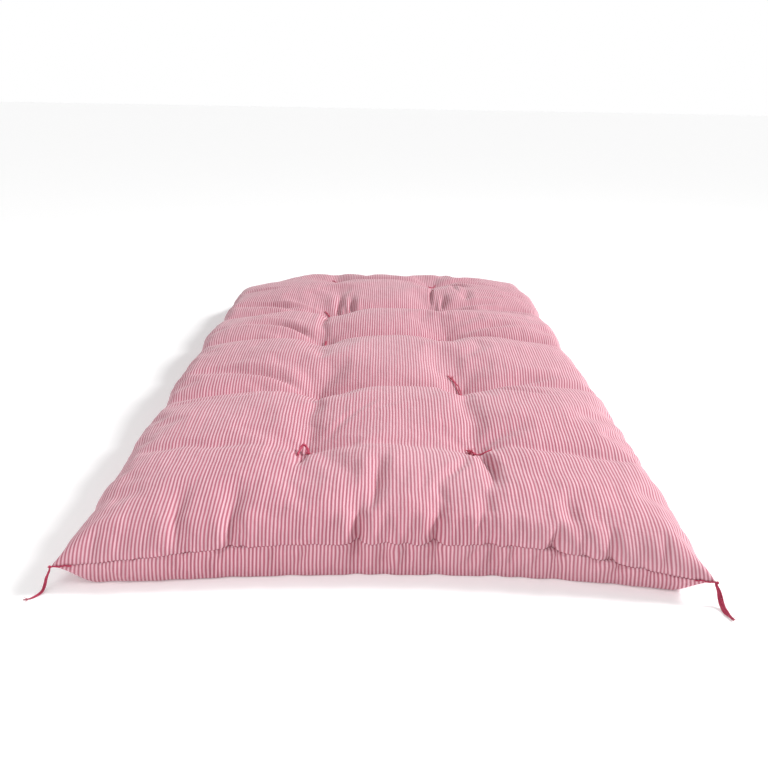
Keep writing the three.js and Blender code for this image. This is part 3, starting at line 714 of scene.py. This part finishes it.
def settled():
    """How far each point of the top panel moves when its cloth, cut a little larger than the filling,
    is swollen by a low pressure in a cloth simulation. It is held at the seam and the ties, and lightly
    along the rows. What a whole neighbourhood moves together is taken off, so the crown keeps its
    measured height and the wrinkles stay."""
    lines_x, lines_y = settling_lines(WIDTH, SETTLE_X), settling_lines(LENGTH, SETTLE_Y)
    x, y = np.meshgrid(lines_x, lines_y)
    start = top_panel(x, y)
    index = np.arange(x.size).reshape(x.shape)
    sheet = put_mesh("settling_sheet", start.reshape(-1, 3), grid_faces(index).tolist(), None)

    held = np.pad(np.zeros((len(lines_y) - 2, len(lines_x) - 2)), 1, constant_values=1.0)
    for tx, ty, _ in TIE_PLACES:
        held = np.maximum(held, np.clip(1.6 - np.hypot(x - tx, y - ty) / TIE_HOLD, 0, 1))
    for row, left, right in zip(ROWS, TIE_PLACES[0::2], TIE_PLACES[1::2]):
        away = np.abs(y - row_line(row, left, right, x))
        held = np.maximum(held, ROW_HOLD_SHARE * row[2] * np.clip(1 - away / ROW_HOLD, 0, 1))
    held = np.round(held, 2)
    group = sheet.vertex_groups.new(name="held")
    for level in np.unique(held[held > 0]):
        group.add(index[held == level].tolist(), float(level), "REPLACE")

    cloth = sheet.modifiers.new("cloth", "CLOTH")
    settings = cloth.settings
    settings.quality, settings.mass = 6, 0.3
    settings.tension_stiffness = settings.compression_stiffness = 15
    settings.shear_stiffness, settings.bending_stiffness = 5, 0.5
    settings.tension_damping = settings.compression_damping = settings.shear_damping = 8
    settings.bending_damping, settings.air_damping = 0.8, 2
    settings.vertex_group_mass, settings.pin_stiffness = group.name, 1
    settings.use_pressure, settings.uniform_pressure_force = True, SETTLE_PRESSURE
    settings.shrink_min = settings.shrink_max = -SETTLE_EASE
    settings.effector_weights.gravity = 0
    cloth.collision_settings.use_collision = cloth.collision_settings.use_self_collision = False
    cloth.point_cache.frame_start, cloth.point_cache.frame_end = 1, SETTLE_FRAMES
    for step in range(1, SETTLE_FRAMES + 1):
        bpy.context.scene.frame_set(step)
    ended = sheet.evaluated_get(bpy.context.evaluated_depsgraph_get()).data
    places = np.empty(x.size * 3, np.float32)
    ended.vertices.foreach_get("co", places)
    move = places.reshape(start.shape) / MM - start
    bpy.data.objects.remove(sheet)
    bpy.context.scene.frame_set(1)

    smoothed = carried(move, lines_x, lines_y, WRINKLE, WRINKLE)
    shared = carried(move, lines_x, lines_y, SWELLING, SWELLING)
    wrinkles = (smoothed - shared) * SETTLE_SHARE * smooth(FROM_SEAM / SETTLE_EDGE)[..., None]
    size = np.linalg.norm(wrinkles, axis=-1, keepdims=True)
    return wrinkles * SETTLE_CAP * np.tanh(size / SETTLE_CAP) / np.maximum(size, 1e-6)


def around(values):
    """Values of a grid along its edge, counterclockwise from the front left corner."""
    return np.concatenate([values[0, :-1], values[:-1, -1], values[-1, :0:-1], values[:0:-1, 0]])


def outward(points):
    """Upward directions of a panel's grid: the cross product of its two differences."""
    return unit(np.cross(np.gradient(points, axis=1), np.gradient(points, axis=0)))


def under_rings():
    """Cloth places of the under panel as closed rings: the edge's own points, each ring drawn in to its
    distance from the seam by one share of the width and one of the length."""
    edge_x, edge_y = around(CLOTH_X), around(CLOTH_Y)
    inward = UNDER_PLACES[:, None]
    return edge_x * (1 - 2 * inward / WIDTH), edge_y * (1 - 2 * inward / LENGTH)


def below(rings, edge):
    """Downward directions of the rings: the cross product of the way inwards and the way round."""
    whole = np.concatenate([edge[None], rings])
    onward = np.roll(whole, -1, 1) - np.roll(whole, 1, 1)
    return unit(np.cross(np.gradient(whole, axis=0), onward))[1:]


def cover(material):
    """The cover: the top panel on its grid, and the under panel on rings that start at the same seam and
    end in one level face. Gathers along the seam, a lip on either side of it and low lumps are laid on
    square to the cloth."""
    top = top_panel(CLOTH_X, CLOTH_Y)
    top = top + settled()
    gathers = uneven(GATHER_PITCH, GATHER_LONG, 3) * np.exp(-((FROM_END / GATHER_REACH) ** 2))
    gathers += uneven(GATHER_LONG, GATHER_PITCH + 3, 4) * np.exp(-((FROM_SIDE / GATHER_REACH) ** 2))
    leaving = smooth(FROM_SEAM / GATHER_START)
    proud = GATHER_DEPTH * gathers * leaving + lip(FROM_SEAM)
    top = top + outward(top) * (proud + LUMP_HEIGHT * uneven(LUMP_PITCH, LUMP_PITCH, 5) * leaving)[..., None]

    ring_x, ring_y = under_rings()
    under = under_panel(ring_x, ring_y)
    stripe_x = mix(under[..., 0], ring_x, ears(ring_x, ring_y)[0])  # straight down from the end seams
    away = UNDER_PLACES[:, None]
    fading = smooth(away / GATHER_START) * np.exp(-((away / GATHER_REACH) ** 2))
    proud = GATHER_DEPTH * around(gathers) * fading + lip(away)
    under = under + below(under, around(top)) * proud[..., None]
    under[..., 2] = np.maximum(under[..., 2], 0)

    top_index = np.arange(CLOTH_X.size).reshape(CLOTH_X.shape)
    ring_index = CLOTH_X.size + np.arange(ring_x.size).reshape(ring_x.shape)
    ring_index = np.concatenate([around(top_index)[None], ring_index])
    top_faces = grid_faces(top_index)
    under_faces = grid_faces(np.concatenate([ring_index, ring_index[:, :1]], 1))[:, ::-1]
    vertices = np.concatenate([top.reshape(-1, 3), under.reshape(-1, 3)])
    faces = top_faces.tolist() + under_faces.tolist() + [ring_index[-1, ::-1].tolist()]
    piece = put_mesh("striped_cover", vertices, faces, material)

    cloth_x = np.concatenate([CLOTH_X.reshape(-1), stripe_x.reshape(-1)])
    cloth_y = np.concatenate([CLOTH_Y.reshape(-1), ring_y.reshape(-1)])
    gathered = 1 + FULLNESS * smooth(np.abs(cloth_y) / LENGTH * 2) * np.where(cloth_y < 0, 1, 0.5)
    cloth = np.stack([cloth_x * gathered, cloth_y, np.zeros_like(cloth_x)], -1) * MM
    panel = cloth[np.concatenate([top_faces.reshape(-1), under_faces.reshape(-1), ring_index[-1, ::-1]])]
    panel[top_faces.size :, 2] = 1
    attribute = piece.data.attributes.new("panel", "FLOAT_VECTOR", "CORNER")
    attribute.data.foreach_set("vector", panel.astype(np.float32).reshape(-1))
    return piece, top


ticking = ticking_material()
cover_piece, top_points = cover(ticking)
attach(cover_piece, "root")
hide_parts("cover")


def surface_height(x, y):
    """Height of the finished top at a place in plan away from its edges, between four grid points."""
    i = np.clip(np.searchsorted(X_LINES, x) - 1, 0, len(X_LINES) - 2)
    j = np.clip(np.searchsorted(Y_LINES, y) - 1, 0, len(Y_LINES) - 2)
    u = (x - X_LINES[i]) / (X_LINES[i + 1] - X_LINES[i])
    v = (y - Y_LINES[j]) / (Y_LINES[j + 1] - Y_LINES[j])
    z = top_points[..., 2]
    near, far = mix(z[j, i], z[j, i + 1], u), mix(z[j + 1, i], z[j + 1, i + 1], u)
    return mix(near, far, v)


# Yarn: ties, corner tassels and the slip stitches

YARN_LAY = 8.0  # length of one full twist of the plies
PLY_POINTS = 60
FIBRE = 0.26  # radius

# Tails of each tie: places from the tie in plan and height over the cloth, and yarn radius
TIE_TAILS = {
    "tie_1_left": [
        ([(1, -1, 1), (0, 3, 6), (-3, 8, 9), (-8, 9, 10), (-12, 5, 8), (-15, -4, 5), (-17, -14, 2)], 2.3),
        ([(0, 0, 1), (4, -5, 1.5)], 1.4),
    ],
    "tie_1_right": [
        ([(0, -3, 2), (6, -11, 2), (12, -14, 1.4), (19, -13, 1.6), (27, -7, 1.3)], 1.4),
        ([(0, 0, 1.4), (-7, 3, 4), (-14, 5, 2)], 1.7),
    ],
    "tie_2_left": [
        ([(0, 0, 1.4), (-12, 1, 1), (-24, 0, 1), (-34, 2, 1), (-46, 1, 0.9)], 1.0),
        ([(0, 0, 1), (8, 3, 1)], 1.2),
    ],
    "tie_2_right": [
        ([(0, -1, 1), (-7, 18, 2), (-13, 38, 2), (-25, 57, 1.2)], 1.1),
        ([(2, 0, 1), (-2, 20, 3), (-10, 36, 2), (-16, 52, 1.2)], 1.1),
    ],
    "tie_3_left": [([(0, 0, 1.4), (4, 10, 1), (5, 19, 1)], 1.5), ([(0, 0, 1), (-9, -9, 1)], 1.5)],
    "tie_3_right": [([(0, 0, 1.4), (8, 1, 1), (16, 4, 1)], 1.5), ([(0, 0, 1), (-7, 3, 1), (-14, 5, 1)], 1.5)],
    "tie_4_left": [
        ([(0, 0, 1.4), (-5, 12, 2), (-12, 24, 1.5), (-20, 34, 1.4)], 1.7),
        ([(0, 0, 1), (3, -12, 1)], 1.4),
    ],
    "tie_4_right": [
        ([(0, 0, 1), (-1, 5, 8), (-5, 7, 13), (-9, 4, 8), (-10, -4, 2)], 1.6),
        ([(0, 0, 1), (5, -8, 1)], 1.4),
    ],
    "tie_5_left": [([(0, 0, 1.4), (-7, 8, 1), (-14, 15, 1)], 1.5), ([(0, 0, 1), (13, -8, 1)], 1.5)],
    "tie_5_right": [([(0, 0, 1.4), (4, 9, 1), (7, 17, 1)], 1.6), ([(0, 0, 1), (-12, -7, 1)], 1.6)],
}
LOOPED = ("tie_1_left", "tie_4_right")  # ties whose first tail is an upright loop
KNOT, KNOT_YARN = 3.4, 0.95  # radius of a tie's knot and of its yarn
# Tufts beside a tie: x and y from the tie, height, number of fibres and their length
TUFTS = {"tie_1_right": (-8, -1, 2, 60, 10), "tie_2_right": (-19, 50, 1, 18, 9)}

# Tassels: corner, path of the strands from the tip, then the gap between two bunches, the half width
# at the middle and the share of it left at the end
TASSELS = {
    "tassel_front_left": (
        (-1, -1),
        [
            (-503, -1001, 33), (-507, -1003, 24), (-510, -1005, 12), (-513, -1009, 4), (-517, -1018, 2.4),
            (-524, -1027, 2), (-534, -1031, 1.4),
        ],
        (0.0, 2.2, 0.1),
    ),
    "tassel_front_right": (
        (1, -1),
        [
            (500, -1003, 30), (504, -1007, 20), (506, -1014, 8), (507, -1028, 2.8), (508, -1042, 2.4),
            (512, -1055, 2),
        ],
        (1.3, 1.9, 0.9),
    ),
    "tassel_back_right": (
        (1, 1),
        [
            (504, 1003, 20), (508, 1006, 13), (512, 1013, 4), (515, 1026, 2.4), (520, 1039, 2),
            (526, 1049, 1.6),
        ],
        (1.2, 2.1, 0.6),
    ),
    "tassel_back_left": (
        (-1, 1),
        [
            (-503, 1003, 20), (-505, 1007, 13), (-506, 1015, 4), (-504, 1028, 2.4), (-501, 1040, 2),
            (-499, 1051, 1.6),
        ],
        (0.4, 2.4, 0.3),
    ),
}
TASSEL_STRANDS, TASSEL_STRAND = 20, 0.8
TASSEL_KNOT, TASSEL_KNOT_YARN = 2.2, 0.9
TASSEL_TURN, TASSEL_FLAT = 1.2, 0.6  # half turns of the bunch, and its thickness over its width
TASSEL_FRAY = (12, 7.0)  # number and length of the fibres at its end
TASSEL_YARN, TASSEL_RUN = 1.2, 30.0  # radius and length of the last stitches beside a tassel
STITCH_PITCH, STITCH_LONG, STITCH_YARN, STITCH_SLANT = 6.4, 3.4, 0.42, 0.35


def plied(points, radius, across):
    """Three plies twisted round a smooth path: each ply's line is the path plus a circle of half the
    yarn's radius that turns once in the lay."""
    path = spline(points, PLY_POINTS)
    along = unit(np.gradient(path, axis=0))
    normal = unit(np.cross(across, along))
    other = np.cross(along, normal)
    run = length_along(path)
    parts = []
    for ply in range(3):
        turn = (2 * np.pi * (run / YARN_LAY + ply / 3))[:, None]
        line = path + 0.5 * radius * (np.cos(turn) * normal + np.sin(turn) * other)
        parts.append(tube(line, 0.56 * radius, across, 6))
    return parts


def knot(center, size, radius, turn):
    """A small overhand knot: a trefoil line, twice round with three lobes, pressed flat and turned."""
    t = np.linspace(0, 2 * np.pi, 60)
    wide = 1 + 0.45 * np.cos(3 * t)
    line = np.stack([wide * np.cos(2 * t + turn), wide * np.sin(2 * t + turn), 0.7 * np.sin(3 * t)], 1)
    return [tube(np.array(center) + size / wide.max() * line, radius, (0, 0, 1), 6)]


def fibres(center, direction, count, length, seed, floor_of):
    """Loose fibres from a cut end: each a bent line that leaves in the given direction, scattered by
    seeded amounts, and lies no lower than the cloth or floor under it."""
    chance = np.random.default_rng(seed)
    parts = []
    for heading in unit(np.array(direction) + chance.normal(scale=0.55, size=(count, 3))):
        reach = length * chance.uniform(0.6, 1.1)
        bend = chance.normal(scale=0.22, size=3)
        share = np.linspace(0, 1, 5)[:, None]
        line = np.array(center) + reach * (heading * share + bend * share**2)
        line[:, 2] = np.maximum(line[:, 2], floor_of(line[:, 0], line[:, 1]) + FIBRE)
        parts.append(tube(line, FIBRE * (1 - 0.5 * share[:, 0]), np.cross(heading, (0.3, 0.2, 1.0)), 4))
    return parts


def tie(name, material):
    """A filling tie: its knot in the dimple and its tails over the cloth, frayed where they are cut."""
    x, y, _ = TIES[name]
    place = list(TIES).index(name)
    parts = knot((x, y, surface_height(x, y) + 1.6), KNOT, KNOT_YARN, 0.7 * place)
    for number, (offsets, radius) in enumerate(TIE_TAILS[name]):
        offsets = np.array(offsets, float)
        px, py = x + offsets[:, 0], y + offsets[:, 1]
        points = np.stack([px, py, surface_height(px, py) + offsets[:, 2] + radius - 1], 1)
        fine = spline(points, 40)
        fine[:, 2] = np.maximum(fine[:, 2], surface_height(fine[:, 0], fine[:, 1]) + radius)
        heading = unit(fine[-1] - fine[0])
        across = np.cross(heading * (1, 1, 0), (0, 0, 1))
        parts += plied(fine, radius, across if number or name not in LOOPED else (0, 0, 1))
        cut_end = unit(fine[-1] - fine[-4])
        parts += fibres(fine[-1], cut_end, 7, 3.5 + 2 * radius, 30 * place + number, surface_height)
    if name in TUFTS:
        dx, dy, up, count, length = TUFTS[name]
        center = (x + dx, y + dy, surface_height(x + dx, y + dy) + up)
        parts += fibres(center, (-0.1, 0.1, 0.3), count, length, 90 + place, surface_height)
    return put_mesh(f"{name}_yarn", *joined(parts), material)


def length_along(line):
    """Length along a line from its start to each of its points."""
    return np.concatenate([[0], np.cumsum(np.linalg.norm(np.diff(line, axis=0), axis=1))])


# The seam as one closed line, counterclockwise from the front left tip
seam = np.concatenate([around(top_points), top_points[:1, 0]])
seam_run = length_along(seam)


def along_seam(places):
    """Points of the seam at given lengths from its start, and its outward directions in plan."""

    def at(values):
        return np.stack([np.interp(values % seam_run[-1], seam_run, seam[:, k]) for k in range(3)], -1)

    ahead = unit(at(places + 3) - at(places - 3))
    return at(places), unit(ahead[..., [1, 0, 2]] * (1, -1, 0))


def slip_stitches(material):
    """Slip stitches in the groove of the seam: short slanting runs of sewing yarn at an even pitch."""
    starts = np.arange(0, seam_run[-1] - STITCH_PITCH, STITCH_PITCH)
    starts = starts + np.random.default_rng(8).uniform(-0.8, 0.8, len(starts))
    share = np.linspace(0, 1, 5)
    points, out = along_seam(starts[:, None] + STITCH_LONG * share)
    lift = STITCH_YARN * (1.1 * np.sin(np.pi * share) + 0.1)
    points = points + out * lift[:, None]
    points[..., 2] += STITCH_SLANT * (2 * share - 1)
    parts = [tube(path, STITCH_YARN, (0, 0, 1), 5) for path in points]
    return put_mesh("slip_stitches", *joined(parts), material)


def tassel(name, material):
    """A corner tassel: a knot at the pointed tip, a bunch of loose strands that falls to the floor and
    lies on it, wider in its middle than at its end, and the yarn's last stitches in the seam."""
    (side, end), path, (gap, half_width, blunt) = TASSELS[name]
    seed = list(TASSELS).index(name) + 40
    chance = np.random.default_rng(seed)
    tip = top_points[0 if end < 0 else -1, 0 if side < 0 else -1]
    points = np.concatenate([[tip + (side * 1.5, end * 1.5, 0)], path])
    count = 46
    share = np.linspace(0, 1, count)
    middle = spline(points, count)
    along = unit(np.gradient(middle, axis=0))
    aside = unit(np.cross(along, (-0.35 * side, 0, 1.0)))
    over = np.cross(aside, along)
    belly = np.sin(np.pi * np.clip(share / 0.95, 0, 1)) ** 0.8
    width = half_width * (mix(0.3, blunt, share) + 0.7 * belly)
    parting = gap * smooth((share - 0.2) / 0.3) * smooth((0.92 - share) / 0.2)
    parts = []
    for strand in range(TASSEL_STRANDS):
        bearing, reach = chance.uniform(0, 2 * np.pi), np.sqrt(chance.uniform(0.05, 1))
        half = 1 if strand % 2 else -1
        twist = bearing + TASSEL_TURN * np.pi * share
        offset = (width * reach * np.cos(twist) + half * parting)[:, None] * aside
        line = middle + offset + (TASSEL_FLAT * width * reach * np.sin(twist))[:, None] * over
        line[:, 2] = np.maximum(line[:, 2], TASSEL_STRAND + 0.1)
        kept = round(count * chance.uniform(0.93, 1))
        thin = TASSEL_STRAND * (1 - 0.45 * smooth((share[:kept] - 0.7) / 0.3))
        parts.append(tube(line[:kept], thin, (0.2 * side, 0.1, 1.0) if gap else aside.mean(0), 5))
    parts += knot(tip + (side * 1.6, end * 1.2, 0), TASSEL_KNOT, TASSEL_KNOT_YARN, 0.4 * seed)
    parts += fibres(middle[-5], along[-1] * (1, 1, 0), *TASSEL_FRAY, seed, lambda x, y: 0 * x)

    run = np.linspace(0, TASSEL_RUN, 8)
    corner = seam_run[np.argmin(np.linalg.norm(seam - tip, axis=1))]
    stitches, out = along_seam(corner + side * end * run)
    stitches = stitches + out * (TASSEL_YARN * (1 + 0.5 * np.sin(run / 3.4)))[:, None]
    stitches[:, 2] += 0.7 * np.sin(run / 2.6)
    stitches[0] = tip + (side * 1.5, end * 1.5, 0)
    parts += plied(stitches, TASSEL_YARN, (0, 0, 1))
    return put_mesh(f"{name}_yarn", *joined(parts), material)


crimson = yarn_material("cotton_yarn_crimson", "#8e1f3b", "#c84666")
rose = yarn_material("cotton_yarn_rose", "#a8304c", "#d8647e")
sewing = yarn_material("cotton_sewing_yarn", "#7d3244", "#a34a5e")
for name in [*TIES, *TASSELS]:
    piece = tie(name, rose) if name in TIES else tassel(name, crimson)
    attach(piece, "root")
    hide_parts(name)
stitches = slip_stitches(sewing)
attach(stitches, "root")


# Camera, light and floor

LENS_PIXELS, FRAME_PIXELS = 891.0, 768.0
PITCH, ROLL, YAW = np.radians([18.47, 1.05, -0.18])
CAMERA_PLACE = (-0.009, -2.180, 0.732)


def turned(right, up, back, place):
    """Matrix of an object with its three axes along the given directions, at a place."""
    return Matrix(np.vstack([np.column_stack([right, up, back, place]), [0, 0, 0, 1]]).tolist())


def place_camera():
    """The photograph's view: turned by the yaw, tipped down by the pitch, and then rolled."""
    data = bpy.data.cameras.new("view")
    data.sensor_width = 36.0
    data.lens = data.sensor_width * LENS_PIXELS / FRAME_PIXELS
    camera = put_object("view", data)
    forward = np.array([-np.sin(YAW) * np.cos(PITCH), np.cos(YAW) * np.cos(PITCH), -np.sin(PITCH)])
    right = np.array([np.cos(YAW), np.sin(YAW), 0])
    up = np.cross(right, forward)
    rolled_right = right * np.cos(ROLL) + up * np.sin(ROLL)
    rolled_up = up * np.cos(ROLL) - right * np.sin(ROLL)
    camera.matrix_world = turned(rolled_right, rolled_up, -forward, CAMERA_PLACE)
    bpy.context.scene.camera = camera


def area_light(name, place, target, size, energy):
    """A white round lamp at a place, turned to its target."""
    data = bpy.data.lights.new(name, "AREA")
    data.shape = "DISK"
    data.size, data.energy = size, energy
    towards = unit(np.array(target) - np.array(place))
    side = unit(np.cross(towards, [0.0, 0.1, 1.0]))
    put_object(name, data).matrix_world = turned(side, np.cross(side, towards), -towards, place)


def floor():
    """A plain pale floor that glows a little, so that it stays white far off."""
    paint = {
        "Base Color": srgb("#fafafa"),
        "Roughness": 0.9,
        "Specular IOR Level": 0.1,
        "Emission Color": srgb("#ffffff"),
        "Emission Strength": 0.14,
    }
    material, _, _ = new_material("painted_studio_floor", paint)
    reach = 30000.0
    corners = [(-reach, -reach, 0), (reach, -reach, 0), (reach, reach, 0), (-reach, reach, 0)]
    put_mesh("studio_floor", corners, [[0, 1, 2, 3]], material)


def world():
    """White surroundings, brightest low down behind the mattress and dimmer overhead and in front."""
    surroundings = bpy.data.worlds.new("studio")
    surroundings.use_nodes = True
    tree = surroundings.node_tree
    background = tree.nodes["Background"]
    background.inputs["Color"].default_value = srgb("#ffffff")
    place = node(tree, "TexCoord")
    height = node(
        tree, "VectorMath", {"operation": "DOT_PRODUCT"}, {1: (0, -0.2, 1)},
        {0: place.outputs["Generated"]},
    )
    strength = node(
        tree, "MapRange", inputs={"From Min": -0.08, "From Max": 0.2, "To Min": 1.0, "To Max": 0.47},
        links={"Value": height.outputs["Value"]},
    )
    tree.links.new(strength.outputs["Result"], background.inputs["Strength"])
    bpy.context.scene.world = surroundings


def far_light(name, bearing, elevation, spread, strength):
    """A large soft light far off, so that it falls evenly: bearing from +X towards +Y, in degrees."""
    data = bpy.data.lights.new(name, "SUN")
    data.angle, data.energy = np.radians(spread), strength
    light = put_object(name, data)
    light.rotation_euler = (0, np.radians(90 - elevation), np.radians(bearing))
    light.location = (0, 0, 3)


place_camera()
floor()
world()
far_light("key", 20, 34, 12, 2.08)
area_light("side", (3.0, -0.2, 1.7), (0.3, 0.0, 0), 1.2, 45)
area_light("front", (-0.4, -2.2, 2.4), (0, -0.95, 0), 1.2, 17)
area_light("fill", (-2.6, -2.9, 0.9), (0, -0.8, 0), 1.5, 19)
